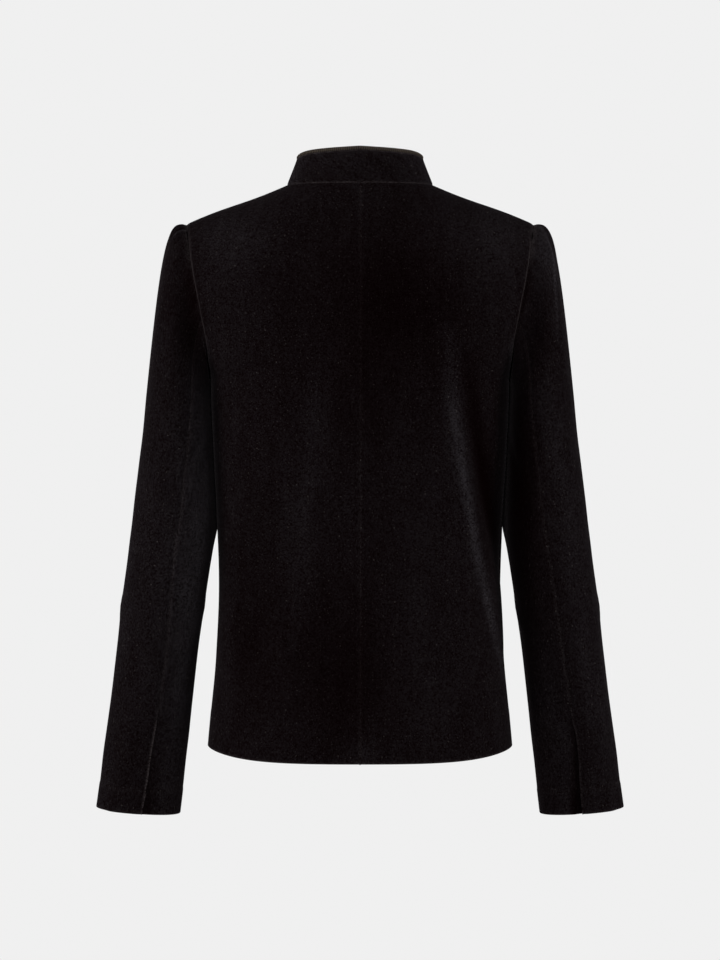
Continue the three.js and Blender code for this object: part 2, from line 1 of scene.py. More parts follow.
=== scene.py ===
# A black velvet stand collar blazer in its hollow, worn shape, seen from behind.
# Sizes are in millimetres until a mesh is made. +Z up, front towards -Y, +X to the wearer's left.
import math
from types import SimpleNamespace
import bpy
import numpy as np
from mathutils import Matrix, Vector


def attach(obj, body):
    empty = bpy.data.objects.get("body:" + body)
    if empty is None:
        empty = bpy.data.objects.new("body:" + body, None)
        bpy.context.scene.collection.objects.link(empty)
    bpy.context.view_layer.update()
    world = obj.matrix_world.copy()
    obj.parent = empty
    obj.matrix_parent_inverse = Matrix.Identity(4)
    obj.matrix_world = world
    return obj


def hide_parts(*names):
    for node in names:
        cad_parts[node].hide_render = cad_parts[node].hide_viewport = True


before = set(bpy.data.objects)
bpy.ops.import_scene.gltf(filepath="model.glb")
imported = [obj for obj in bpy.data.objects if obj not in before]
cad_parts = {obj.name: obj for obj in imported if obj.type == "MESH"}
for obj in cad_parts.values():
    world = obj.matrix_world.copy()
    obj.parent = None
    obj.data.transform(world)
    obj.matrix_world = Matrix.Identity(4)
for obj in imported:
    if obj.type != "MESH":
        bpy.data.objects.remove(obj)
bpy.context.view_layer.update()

MM = 0.001

# Sizes that the cloth shares with the solids
WALL = 2.0
COLLAR_WALL = 2.6
SEAM_GAP = 0.3
SLEEVE_SEAM_GAP = 0.45
SHOULDER_X, SHOULDER_Z = 183.9, 2.0
NECK_X, NECK_Z = 78.0, 42.5
NECK_BACK_Y, NECK_BACK_Z = 64.0, 40.0
NECK_FRONT_Y, NECK_FRONT_Z = 72.0, -31.0
NECK_DIP = 1.15
NECK_SHARE = 0.43
SHOULDER_ROUNDING = 75.0
SHOULDER_CURVE = 0.02
UNDERARM_Z = -165.0
SQUARENESS, BODY_DEPTH = 2.35, 100.0
HEM_BACK, HEM_SIDE, HEM_FRONT, HEM_TURN_IN = -558.5, -549.0, -553.0, 4
LAP_WIDTH, LAP_OUT, LAP_START, LAP_END = 15.0, 2.9, 20.0, 46.0
BODY_ROWS, YOKE_ROWS = 11, 12
NECK_COLUMNS, SIDE_COLUMNS = 6, 8
BODY_COLUMNS = NECK_COLUMNS + SIDE_COLUMNS
UNDERARM_ROW, CAP_ROWS = 12, 8
SLEEVE_TOP_ROW = UNDERARM_ROW + CAP_ROWS
SLEEVE_SQUARENESS = 2.15
ARM_BACK, ARM_FRONT = 105.0, -135.0
CUFF_FRONT_SEAM = -128.0
VENT_LIFT, VENT_BAND, VENT_FADE, VENT_LAP = WALL + 0.7, 26.0, 14.0, 24.0
FULL_ANGLE, FULL_HALF = 212.0, 18.0
HEAD_LEAN, HEAD_SIDE_SHARE, HEAD_TOP_REACH = -0.1, 0.6, 45.0
SINK_DEPTH, SINK_FROM, SINK_FULL, SINK_FADING, SINK_TO = 2.2, 32, 62, 115, 160
PLEAT_SEAM_SHARE, PLEAT_GROWTH, PLEATED_HALF_ANGLE = 0.35, 9.0, 58.0
COLLAR_HOLLOW, COLLAR_END_X, COLLAR_BASE = 1.05, 2.0, -0.4
EDGING_RADIUS, EDGING_GAP = 1.5, 0.7
BACK, FRONT = 1, -1
EPSILON = 0.02


def slopes_of(keys, values):
    chord = np.diff(values) / np.diff(keys)
    slopes = np.zeros(len(keys))
    slopes[0], slopes[-1] = chord[0], chord[-1]
    before, after = chord[:-1], chord[1:]
    same = before * after > 0
    total = np.where(same, before + after, 1.0)
    slopes[1:-1] = np.where(same, 2 * before * after / total, 0.0)
    return slopes


def table(columns, rows):
    """A smooth curve through each column, read at any value of the first column."""
    data = np.array(rows, float)
    keys = data[:, 0]
    slopes = [slopes_of(keys, data[:, i]) for i in range(data.shape[1])]

    def read(key):
        at = np.clip(key, keys[0], keys[-1])
        i = np.clip(np.searchsorted(keys, at, side="right") - 1, 0, len(keys) - 2)
        step = keys[i + 1] - keys[i]
        t = (at - keys[i]) / step
        t2, t3 = t * t, t * t * t
        values = {}
        for number, name in enumerate(columns.split()):
            low, high, slope = data[i, number], data[i + 1, number], slopes[number]
            straight = (2 * t3 - 3 * t2 + 1) * low + (3 * t2 - 2 * t3) * high
            values[name] = straight + step * ((t3 - 2 * t2 + t) * slope[i] + (t3 - t2) * slope[i + 1])
        return SimpleNamespace(**values)

    return read


def named(columns, rows):
    return [SimpleNamespace(**dict(zip(columns.split(), row))) for row in rows]


body_section = table("z width back front", [
    (-600, 165.0, 108, 118),
    (-556, 161.5, 106, 116),
    (-520, 158.3, 102, 112),
    (-455, 152.1, 94, 107),
    (-388, 148.9, 89, 106),
    (-320, 151.0, 89, 112),
    (-250, 154.5, 94, 122),
    (-200, 156.8, 98, 126),
    (-165, 157.5, 100, 124),
    (-141, 167.5, 101, 118),
    (-110, 181.0, 101, 108),
    (-85, 190.0, 100, 99),
    (-50, 196.0, 96, 87),
    (-20, 198.0, 90, 77),
    (10, 198.0, 82, 67),
    (45, 198.0, 73, 58),
])

armhole_edge = table("z back front", [
    (-165.0, 157.5, 157.5),
    (-158.0, 157.7, 157.2),
    (-141.0, 159.3, 156.6),
    (-122.0, 161.2, 156.8),
    (-104.0, 164.6, 158.2),
    (-82.7, 168.5, 161.0),
    (-64.7, 172.2, 164.8),
    (-39.0, 176.8, 171.0),
    (-9.5, 181.4, 179.4),
    (2.0, 183.9, 183.9),
])

sleeve_section = table("row z x y width depth rise left_seam right_seam open lift lap full", [
    (0, -623.8, 238.8, -43, 44.8, 37.5, 0.08, 97, 105, 9.3, 1, 1, 0),
    (1, -595.0, 234.9, -40, 44.5, 38, 0.08, 99, 99.7, 6.3, 1, 1, 0),
    (2, -565.0, 231.1, -33, 44.3, 39, 0.08, 100, 96.3, 5, 1, 1, 0),
    (3, -536.0, 226.8, -26, 43.9, 40.5, 0.075, 101.5, 92.5, 2.5, 1, 1, 0),
    (4, -522.0, 224.9, -23, 43.6, 41, 0.07, 102.5, 91, 0, 1, 0, 0),
    (5, -496.0, 221.4, -18, 43.2, 42.5, 0.06, 104, 92, 0, 0, 0, 0),
    (6, -448.0, 215.3, -10, 43.0, 45, 0.04, 105.5, 94, 0, 0, 0, 0),
    (7, -396.0, 208.4, -4, 43.9, 48, 0.02, 103, 95, 0, 0, 0, 0),
    (8, -345.0, 201.2, 0, 44.0, 50.5, 0, 99.5, 96, 0, 0, 0, 4),
    (9, -303.0, 197.2, 0, 42.9, 53, 0, 103.5, 99, 0, 0, 0, 9.5),
    (10, -255.0, 195.0, -1, 39.4, 57, 0, 109, 104, 0, 0, 0, 6.4),
    (11, -218.0, 193.7, -3, 36.2, 60, 0, 114.5, 110, 0, 0, 0, 4.6),
    (12, -184.0, 192.9, -4, 33.9, 62.5, 0, 121, 116, 0, 0, 0, 4),
])

head_handle = table("angle out away up straight", [
    (0, 20.5, 0, 1, 0.92),
    (30, 19.5, 1, 0, 0.85),
    (60, 15, -3, -4, 0.7),
    (90, 10, -10, -14, 0.5),
    (120, 5, -8, -16, 0.42),
    (150, 2, -2, -10, 0.36),
    (180, 0.6, 0, -6, 0.33),
])

collar_shape = table("angle lean rise", [
    (0, 9, 34.3),
    (50, 11, 31.4),
    (90, 11.2, 28.2),
    (135, 9, 30.5),
    (180, 6, 32),
])

# The pleats in the sleeves' heads. Side 1 is the left one, above and below are a pleat's half widths.
PLEATS = named("side angle above below height length", [
    (1, -52, 6, 9, 2.0, 55),
    (1, -33, 5, 9, 2.6, 60),
    (1, -14, 5, 8, 2.2, 50),
    (1, 11, 5, 4, 1.6, 30),
    (1, 29, 3, 11, 3.6, 36),
    (1, 50, 8, 8, 2.0, 40),
    (-1, -50, 6, 9, 2.2, 60),
    (-1, -30, 5, 9, 2.6, 64),
    (-1, -10, 5, 8, 2.0, 50),
    (-1, 13, 5, 6, 2.2, 56),
    (-1, 36, 7, 6, 3.2, 96),
    (-1, 56, 8, 8, 1.6, 60),
])

# Soft ridges and hollows between two points of a body panel, the large ones of the solids first
DRAPE = named("face x0 z0 x1 z1 bow height half", [
    (1, -90, -150, -150, -450, 4, 4.2, 14),
    (1, -116, -160, -162, -410, 4, -3.2, 13),
    (1, 44, -150, 60, -400, -12, 2.6, 22),
    (1, 108, -380, 96, -510, 6, -2.6, 18),
    (1, 138, -350, 128, -545, 4, 2.4, 10),
    (1, -70, -430, -62, -540, 0, -1.8, 20),
    (-1, 88, -210, 112, -430, 8, 3.4, 16),
    (-1, -84, -205, -118, -440, -8, 3.6, 16),
    (-1, 62, -330, 52, -540, 0, -2.4, 20),
    (-1, -60, -340, -66, -540, 0, -2.2, 20),
    (1, -91, -165, -151, -455, 5, 2.6, 6),
    (1, -104, -160, -160, -400, 6, -1.6, 7),
    (1, 132, -120, 152, -200, 3, 1.4, 7),
    (1, 120, -150, 146, -230, 3, -1.0, 7),
    (1, -134, -118, -153, -205, -3, 1.3, 7),
    (1, 24, -330, -10, -350, 0, -0.8, 9),
    (1, 90, -300, 30, -318, 2, -0.9, 8),
    (1, 96, -322, 22, -338, 2, 0.8, 8),
    (1, -30, -296, -96, -316, 2, -0.8, 8),
    (-1, 128, -135, 92, -260, 4, 1.2, 9),
    (-1, -128, -135, -90, -255, -4, 1.3, 9),
    (-1, 96, -300, 24, -322, 2, -0.9, 8),
    (-1, -98, -304, -30, -320, 2, -0.9, 8),
])

# Painted light and shade on the back panels: middle, half width and half height of each patch and its share
BODY_PAINTED_SHADING = named("face x z wide high share", [
    (1, -22, -85, 62, 88, -0.68),
    (1, 96, -95, 40, 60, -0.10),
    (1, -96, -95, 40, 60, -0.18),
    (1, 0, -200, 40, 60, -0.28),
    (1, 112, -445, 28, 90, -0.42),
    (1, 140, -445, 9, 130, 0.35),
    (1, 30, -440, 50, 110, -0.24),
    (1, -80, -470, 34, 70, 0.16),
    (1, 128, -16, 46, 34, 0.62),
    (1, -128, -16, 46, 34, 0.60),
    (1, 0, -548, 14, 13, 0.65),
    (1, 0, -470, 60, 80, -0.32),
])
# The same painted light and shade in strips between two points
BODY_PAINTED_SHADING_STRIPS = named("face x0 z0 x1 z1 bow wide share", [
    (1, -93, -175, -153, -480, 5, 4.4, 2.5),
    (1, -90, -110, -110, -290, 2, 11, 0.8),
    (1, -92, -190, -148, -440, 6, 14, 0.3),
    (1, -108, -130, -164, -430, 6, 12, -0.9),
    (1, 42, -140, 66, -420, 0, 13, 0.38),
    (1, 159, -118, 147.5, -400, 0, 2.2, 2.6),
    (1, -159, -118, -147.5, -400, 0, 2.2, 5.0),
])
# The same painted light and shade for the sleeves, by row and angle: side 1 is the left one
SLEEVE_PAINTED_SHADING = named("side row angle high wide share", [
    (1, 8.5, 138, 5.5, 29, 3.3),
    (1, 8, 90, 5.5, 22, 0.35),
    (1, 4, 12, 9, 55, 0.6),
    (-1, 5, 3, 10, 55, 0.65),
    (1, 16.5, 96, 2.4, 20, -0.6),
    (1, 19.3, 82, 1.5, 28, -0.5),
    (1, 9, 30, 6, 26, 0.3),
    (1, 2.5, 160, 3.2, 26, 0.4),
    (-1, 10, 0, 12, 30, 0.8),
    (-1, 4, 125, 4, 22, 0.8),
    (-1, 18, 36, 2.6, 24, 1.7),
    (-1, 19.9, 84, 0.8, 30, -0.6),
    (-1, 9.5, 138, 4.5, 33, -0.9),
    (-1, 8, 76, 5.5, 20, 0.75),
    (-1, 15, 85, 2.0, 22, -0.45),
    (1, 20.2, 8, 0.7, 20, 0.9),
    (-1, 20.2, 8, 0.7, 20, 0.9),
])
SLEEVE_PAINTED_SHADING_STRIPS = named("side row0 angle0 row1 angle1 wide share", [
    (1, 20.6, 26, 17.6, 31, 1.7, 2.6),
    (1, 20.6, 19, 17.4, 24, 3.4, -0.95),
    (1, 20.4, 9, 18.2, 12, 1.8, -0.8),
    (1, 18.8, 112, 20.2, 136, 2.2, 1.6),
    (1, 18.4, 121, 20.2, 144, 4.0, -0.8),
    (-1, 20.8, 8, 13.5, 53, 3.6, 2.3),
    (-1, 20.6, 6, 16.0, 15, 2.6, 1.8),
    (-1, 20.6, 10, 15.5, 27, 4.0, -0.5),
])
# The painted shadow under each vent's edge: its middle and half width in millimetres from the seam and its
# share
LAP_SHADE = {1: (0.0, 8.0, -0.65), -1: (-4.8, 4.8, -0.97)}
LAP_SHADE_ROWS, LAP_SHADE_FADE = 4.3, 0.6
VENT_HOLLOW, VENT_HOLLOW_WIDTH = 4.0, 9.0

# Creases across a sleeve: the row and angle of each end, the height and the half width in degrees
CREASES = named("row0 angle0 row1 angle1 height half", [
    (11.6, 150, 9.4, 78, 1.5, 9),
    (11.2, 175, 8.6, 108, -1.3, 9),
    (9.6, 60, 8.2, 130, 1.3, 9),
    (8.9, 150, 7.4, 60, 1.2, 10),
    (8.2, 40, 7.1, 128, -1.2, 10),
    (7.6, -40, 6.3, 40, 1.0, 11),
    (7.2, 200, 5.9, 120, 1.0, 10),
    (8.6, -150, 7.2, -60, 1.6, 11),
    (7.8, -160, 6.6, -70, -1.4, 10),
    (7.0, -150, 5.6, -40, 1.2, 11),
    (5.0, 30, 3.6, 90, 0.8, 11),
    (4.2, -120, 2.8, -20, 0.9, 11),
])


def lerp(low, high, t):
    return low + (high - low) * t


def smooth(value, low, high):
    t = np.clip((value - low) / (high - low), 0, 1)
    return t * t * (3 - 2 * t)


def signed_power(value, power):
    return np.sign(value) * np.abs(value) ** power


def stack(x, y, z):
    return np.stack(np.broadcast_arrays(x, y, z), -1).astype(float)


def unit(vectors):
    return vectors / np.maximum(np.linalg.norm(vectors, axis=-1, keepdims=True), 1e-9)


# The body's surface
def neck_depth(face, x):
    reach = np.where(face == BACK, NECK_BACK_Y, NECK_FRONT_Y)
    return reach * np.sqrt(np.maximum(0, 1 - (x / NECK_X) ** 2))


def top_height(face, x):
    """Height of the neckline or of the shoulder seam at x."""
    share = (x - NECK_X) / (SHOULDER_X - NECK_X)
    shoulder = lerp(NECK_Z, SHOULDER_Z, share + SHOULDER_CURVE * np.sin(2 * math.pi * share))
    back = lerp(NECK_BACK_Z, NECK_Z, (x / NECK_X) ** 2)
    drop = (neck_depth(FRONT, x) / NECK_FRONT_Y) ** NECK_DIP
    front = NECK_Z - (NECK_Z - NECK_FRONT_Z) * drop
    return np.where(x >= NECK_X, shoulder, np.where(face == BACK, back, front))


def form_depth(face, x, z):
    section = body_section(z)
    around = np.maximum(0, 1 - (np.abs(x) / section.width) ** SQUARENESS)
    return np.where(face == BACK, section.back, section.front) * around ** (1 / SQUARENESS)


def surface_depth(face, x, z):
    top = top_height(face, x)
    climb = np.clip((z - top + SHOULDER_ROUNDING) / SHOULDER_ROUNDING, 0, 1)
    form = np.maximum(form_depth(face, x, top), 1e-6)
    kept = np.where(x < NECK_X, neck_depth(face, x) / form, 0)
    return form_depth(face, x, z) * np.sqrt(np.maximum(0, 1 - climb * climb * (1 - kept * kept)))


def drape_at(face, x, z):
    moved = np.zeros(np.shape(x))
    for fold in DRAPE:
        if fold.face != face:
            continue
        along = np.clip((z - fold.z0) / (fold.z1 - fold.z0), 0, 1)
        middle = lerp(fold.x0, fold.x1, along) + fold.bow * np.sin(math.pi * along)
        moved = moved + fold.height * np.sin(math.pi * along) * np.exp(-(((x - middle) / fold.half) ** 2))
    return moved


NECK_TURN = math.asin(NECK_SHARE ** (SQUARENESS / 2))


def column_turn(column):
    beyond = lerp(NECK_TURN, math.pi / 2, (column - NECK_COLUMNS) / SIDE_COLUMNS)
    return np.where(column <= NECK_COLUMNS, NECK_TURN * column / NECK_COLUMNS, beyond)


def column_share(column):
    return signed_power(np.sin(column_turn(column)), 2 / SQUARENESS)


def top_point(face, column):
    neck_x = NECK_X * np.sin((math.pi / 2) * np.minimum(column / NECK_COLUMNS, 1))
    neck_share = column_share(np.array(float(NECK_COLUMNS)))
    share = (column_share(column) - neck_share) / (1 - neck_share)
    x = np.where(column <= NECK_COLUMNS, neck_x, lerp(NECK_X, SHOULDER_X, share))
    return x, top_height(face, np.abs(x))


def armhole_point(face, turn):
    z = lerp(UNDERARM_Z, SHOULDER_Z, (1 - np.cos(turn)) / 2)
    edge = armhole_edge(z)
    return np.where(face == BACK, edge.back, edge.front), z


def yoke_point(face, row, column):
    turn = math.pi * row / YOKE_ROWS
    up = lerp(row / YOKE_ROWS, (1 - np.cos(turn)) / 2, 0.5)
    share = column_share(column)
    top_x, top_z = top_point(face, column)
    arm_x, arm_z = armhole_point(face, turn)
    centre_z = top_point(face, np.zeros(1))[1]
    side_x = body_section(np.array(UNDERARM_Z)).width
    x = lerp(share * side_x, top_x, up) + share * (arm_x - lerp(side_x, SHOULDER_X, up))
    bent = lerp(UNDERARM_Z, top_z, up) + share * (arm_z - lerp(UNDERARM_Z, SHOULDER_Z, up))
    return x, np.where(row <= 0, UNDERARM_Z, np.minimum(bent, np.maximum(top_z, centre_z)))


def body_point(face, side, row, column):
    turn = column_turn(column)
    hem = lerp(HEM_BACK if face == BACK else HEM_FRONT, HEM_SIDE, np.sin(turn) ** HEM_TURN_IN)
    low_z = lerp(hem, UNDERARM_Z, np.minimum(row / BODY_ROWS, 1))
    section = body_section(low_z)
    reach = section.back if face == BACK else section.front
    low_x = section.width * signed_power(np.sin(turn), 2 / SQUARENESS)
    low_y = reach * signed_power(np.maximum(np.cos(turn), 0), 2 / SQUARENESS)
    high_x, high_z = yoke_point(face, np.maximum(row - BODY_ROWS, 0), column)
    high_y = surface_depth(face, np.abs(high_x), high_z)
    low = row <= BODY_ROWS
    x, y, z = np.where(low, low_x, high_x), np.where(low, low_y, high_y), np.where(low, low_z, high_z)
    out = unit(stack(x / body_section(z).width ** 2, y / BODY_DEPTH ** 2, 0 * x))
    moved = drape_at(face, side * x, z)
    return stack(x + out[..., 0] * moved, face * (y + out[..., 1] * moved), z)


def front_point(side, row, column):
    """A front reaches past the centre, where the wearer's right one lies over the left one."""
    point = body_point(FRONT, side, row, np.maximum(column, 0))
    mirror = body_point(FRONT, side, row, np.ones(np.shape(column)))
    past = column < 0
    share = -column * LAP_WIDTH / np.maximum(mirror[..., 0], 1)
    x = np.where(past, column * LAP_WIDTH, point[..., 0])
    y = np.where(past, lerp(point[..., 1], mirror[..., 1], share), point[..., 1])
    z = np.where(past, lerp(point[..., 2], mirror[..., 2], share), point[..., 2])
    if side < 0:
        y = y - LAP_OUT * (1 - smooth(x, LAP_START, LAP_END))
    return stack(x, y, z)


# The sleeves' surface
def crease_at(angle, row):
    moved = np.zeros(np.shape(angle))
    for fold in CREASES:
        along = np.clip((row - fold.row0) / (fold.row1 - fold.row0), 0, 1)
        away = (angle - lerp(fold.angle0, fold.angle1, along) + 180) % 360 - 180
        moved = moved + fold.height * np.sin(math.pi * along) * np.exp(-((away / fold.half) ** 2))
    return moved


def sleeve_ring(angle, row, lift):
    ring = sleeve_section(row)
    turn = np.radians(angle)
    x = ring.width * signed_power(np.cos(turn), 2 / SLEEVE_SQUARENESS)
    y = ring.depth * signed_power(np.sin(turn), 2 / SLEEVE_SQUARENESS)
    from_full = np.where(angle < 0, angle + 360, angle) - FULL_ANGLE
    moved = lift + ring.full * np.exp(-((from_full / FULL_HALF) ** 2)) + crease_at(angle, row)
    outward = unit(stack(np.cos(turn) / ring.width, np.sin(turn) / ring.depth, 0 * turn))
    return stack(ring.x + x, ring.y + y, ring.z + ring.rise * x) + outward * moved[..., None]


def armhole_seam(angle):
    face = np.where(np.sin(np.radians(angle)) >= 0, BACK, FRONT)
    turn = np.arccos(np.clip(-np.cos(np.radians(angle)), -1, 1))
    x, z = armhole_point(face, turn)
    away = np.abs(wrapped(angle))
    sink = SINK_DEPTH * smooth(away, SINK_FROM, SINK_FULL) * (1 - smooth(away, SINK_FADING, SINK_TO))
    depth = surface_depth(face, x, z) - np.where(face == BACK, sink, 0)
    return stack(x + SLEEVE_SEAM_GAP, face * depth, z)


def wrapped(angle):
    return np.where(angle > 180, angle - 360, angle)


def pleat_lift(side, angle, from_seam):
    at_seam = lerp(PLEAT_SEAM_SHARE, 1, np.minimum(from_seam / PLEAT_GROWTH, 1))
    lift = np.zeros(np.shape(angle))
    for pleat in PLEATS:
        if pleat.side != side:
            continue
        half = np.where(angle < pleat.angle, pleat.above, pleat.below)
        across = np.exp(-(((angle - pleat.angle) / half) ** 2))
        lift = lift + pleat.height * across * (1 - smooth(from_seam, PLEAT_GROWTH, pleat.length)) * at_seam
    return lift


def sleeve_head(side, angle, ring_angle, share):
    """From the underarm ring over the pleated top to the armhole."""
    start = sleeve_ring(ring_angle, np.full(np.shape(angle), float(UNDERARM_ROW)), 0 * angle)
    end = armhole_seam(angle)
    handle = head_handle(np.abs(wrapped(angle)))
    depthward = np.sin(np.radians(angle))
    face = np.where(depthward == 0, 1, np.sign(depthward))
    rise = (end[..., 2] - start[..., 2]) * handle.straight
    leave = start + stack(HEAD_LEAN * rise * np.cos(np.radians(angle)), 0 * rise, rise)
    reach = end + stack(handle.out, face * handle.away, handle.up)
    t = share[..., None]
    bend = 3 * (1 - t) ** 2 * t * leave + 3 * (1 - t) * t ** 2 * reach
    point = (1 - t) ** 3 * start + bend + t ** 3 * end
    from_seam = np.linalg.norm(point - end, axis=-1)
    upward = np.maximum(0, 1 - from_seam / HEAD_TOP_REACH)
    outward = unit(stack(HEAD_SIDE_SHARE * np.cos(np.radians(angle)), depthward, upward))
    return point + outward * pleat_lift(side, wrapped(angle), from_seam)[..., None]


def sleeve_point(side, row, arm_angle, ring_angle, lift):
    low = sleeve_ring(ring_angle, np.minimum(row, UNDERARM_ROW), lift)
    high = sleeve_head(side, arm_angle, ring_angle, np.clip((row - UNDERARM_ROW) / CAP_ROWS, 0, 1))
    return np.where((row <= UNDERARM_ROW)[..., None], low, high)


def seam_angles(row, side):
    below = np.minimum(row, UNDERARM_ROW)
    ring = sleeve_section(below)
    per_mm = 180 / (math.pi * lerp(ring.width, ring.depth, 0.5))
    seam = ring.left_seam if side > 0 else ring.right_seam
    edge = seam if side > 0 else seam - ring.open * per_mm
    return ring, seam, edge, lerp(CUFF_FRONT_SEAM, ARM_FRONT, below / UNDERARM_ROW), per_mm


def upper_sleeve_point(side, row, column):
    """Columns run from the back seam to the front seam, as angles from the top towards the front."""
    ring, _, edge, front, per_mm = seam_angles(row, side)
    angle = lerp(edge, front, (ARM_BACK + column) / (ARM_BACK - ARM_FRONT))
    from_edge = (edge - angle) / per_mm
    lift = VENT_LIFT * ring.lift * (1 - smooth(from_edge, VENT_BAND, VENT_BAND + VENT_FADE))
    return sleeve_point(side, row, -column, angle, lift)


def under_sleeve_point(side, row, column):
    """Under the right sleeve's open vent the lap falls away."""
    ring, seam, _, front, per_mm = seam_angles(row, side)
    angle = lerp(seam - VENT_LAP * per_mm * ring.lap, 360 + front, column)
    arm_angle = lerp(ARM_BACK, 360 + ARM_FRONT, column)
    depth = VENT_HOLLOW if side < 0 else 0
    hollow = depth * ring.lift * smooth((seam - angle) / per_mm, 0, VENT_HOLLOW_WIDTH)
    return sleeve_point(side, row, arm_angle, angle, -hollow)


# The collar's surface
def collar_point(row, turn):
    around = np.abs(turn)
    face = np.where(around <= 90, BACK, FRONT)
    x = NECK_X * np.sin(np.radians(around))
    base_y, base_z = face * neck_depth(face, x), top_height(face, x)
    shape = collar_shape(around)
    inward = unit(stack(-x / NECK_X ** 2, -base_y / NECK_BACK_Y ** 2, 0 * x))
    lean = shape.lean * (1 - (1 - row) ** COLLAR_HOLLOW)
    side = np.where(turn < 0, -1, 1)
    x, y = side * (x + inward[..., 0] * lean), base_y + inward[..., 1] * lean
    return stack(x, y, base_z + lerp(COLLAR_BASE, SEAM_GAP, row) + shape.rise * row)


# Meshes
TICKS_CLEAR = 1.25


def ticks(first, last, count, edge_steps):
    """Even steps with closer ones at both ends."""
    even = np.linspace(first, last, count + 1)
    sign = 1 if last > first else -1
    near = [first + sign * step for step in edge_steps] + [last - sign * step for step in edge_steps]
    clear = TICKS_CLEAR * max(edge_steps)
    inside = even[(np.abs(even - first) > clear) & (np.abs(even - last) > clear)]
    return np.array(sorted([first, last, *near, *inside], reverse=sign < 0))


def surface(point_at, rows, columns, outward):
    """Points and normals of point_at on a grid; outward is 1 or -1."""
    row, column = np.meshgrid(rows, columns, indexing="ij")

    def step(rows_by, columns_by):
        at_row = np.clip(row + rows_by, min(rows), max(rows))
        at_column = np.clip(column + columns_by, min(columns), max(columns))
        return point_at(at_row, at_column)

    sign = 1 if columns[-1] > columns[0] else -1
    along = step(0, sign * EPSILON) - step(0, -sign * EPSILON)
    up = step(EPSILON, 0) - step(-EPSILON, 0)
    return point_at(row, column), unit(np.cross(along, up)) * outward


def level(points, normals, reach=0.5):
    """Turns the normals at a seam in a middle plane into that plane."""
    for axis in (0, 1):
        normals[..., axis] = np.where(np.abs(points[..., axis]) < reach, 0, normals[..., axis])
    return unit(normals)


def distances(points):
    """How far each point lies from the four edges of its grid, in millimetres."""
    across = np.linalg.norm(np.diff(points, axis=1), axis=-1)
    along = np.linalg.norm(np.diff(points, axis=0), axis=-1)
    start = np.concatenate([np.zeros((len(points), 1)), np.cumsum(across, 1)], 1)
    low = np.concatenate([np.zeros((1, points.shape[1])), np.cumsum(along, 0)], 0)
    return {"start": start, "end": start[:, -1:] - start, "low": low, "high": low[-1:] - low}


EDGES = ("start", "end", "low", "high")
SEAM_DIP, SEAM_DIP_WIDTH = 0.8, 2.4
FREE_INSET, SEWN_INSET, RIM_REACH = 0.55, -0.2, 0.5
RIM_STEPS = 3
NAP_WIDTH = 1.5
SEAM_NAP, EDGE_NAP = 0.15, 0.45
PAINTED_SHADING_LEAST = 0.06
HEM_STEP_HALF = 2.5
GLINT_START, GLINT_END = 6, 12


# Painted light and shade on a back panel, 1 where none is painted
def painted_body_shading(face, side, points):
    painted_shading = np.ones(points.shape[:2])
    for patch in BODY_PAINTED_SHADING:
        if patch.face == face:
            across = (side * points[..., 0] - patch.x) / patch.wide
            up = (points[..., 2] - patch.z) / patch.high
            painted_shading = painted_shading + patch.share * np.exp(-(across ** 2) - up ** 2)
    for strip in BODY_PAINTED_SHADING_STRIPS:
        if strip.face == face:
            along = np.clip((points[..., 2] - strip.z0) / (strip.z1 - strip.z0), 0, 1)
            middle = lerp(strip.x0, strip.x1, along) + strip.bow * np.sin(math.pi * along)
            across = (side * points[..., 0] - middle) / strip.wide
            painted_shading = painted_shading + strip.share * np.sqrt(np.sin(math.pi * along)) * np.exp(-(across ** 2))
    return np.maximum(painted_shading, PAINTED_SHADING_LEAST)


# Painted light and shade on a sleeve, by row and angle
def painted_sleeve_shading(side, row, angle):
    painted_shading = np.ones(np.shape(row))
    for patch in SLEEVE_PAINTED_SHADING:
        if patch.side == side:
            across, up = (angle - patch.angle) / patch.wide, (row - patch.row) / patch.high
            painted_shading = painted_shading + patch.share * np.exp(-(across ** 2) - up ** 2)
    for strip in SLEEVE_PAINTED_SHADING_STRIPS:
        if strip.side == side:
            along = np.clip((row - strip.row0) / (strip.row1 - strip.row0), 0, 1)
            across = (angle - lerp(strip.angle0, strip.angle1, along)) / strip.wide
            painted_shading = painted_shading + strip.share * np.sqrt(np.sin(math.pi * along)) * np.exp(-(across ** 2))
    return np.maximum(painted_shading, PAINTED_SHADING_LEAST)


def lap_shade(side, row, column):
    """The painted shadow that the vent's upper edge throws on the under sleeve."""
    ring, seam, _, front, per_mm = seam_angles(row, side)
    angle = lerp(seam - VENT_LAP * per_mm * ring.lap, 360 + front, column)
    middle, half, share = LAP_SHADE[side]
    beyond = np.maximum(np.abs((angle - seam) / per_mm - middle) - half / 2, 0) / half
    kept = 1 - smooth(row, LAP_SHADE_ROWS - LAP_SHADE_FADE, LAP_SHADE_ROWS)
    return share * np.exp(-(beyond ** 2)) * kept


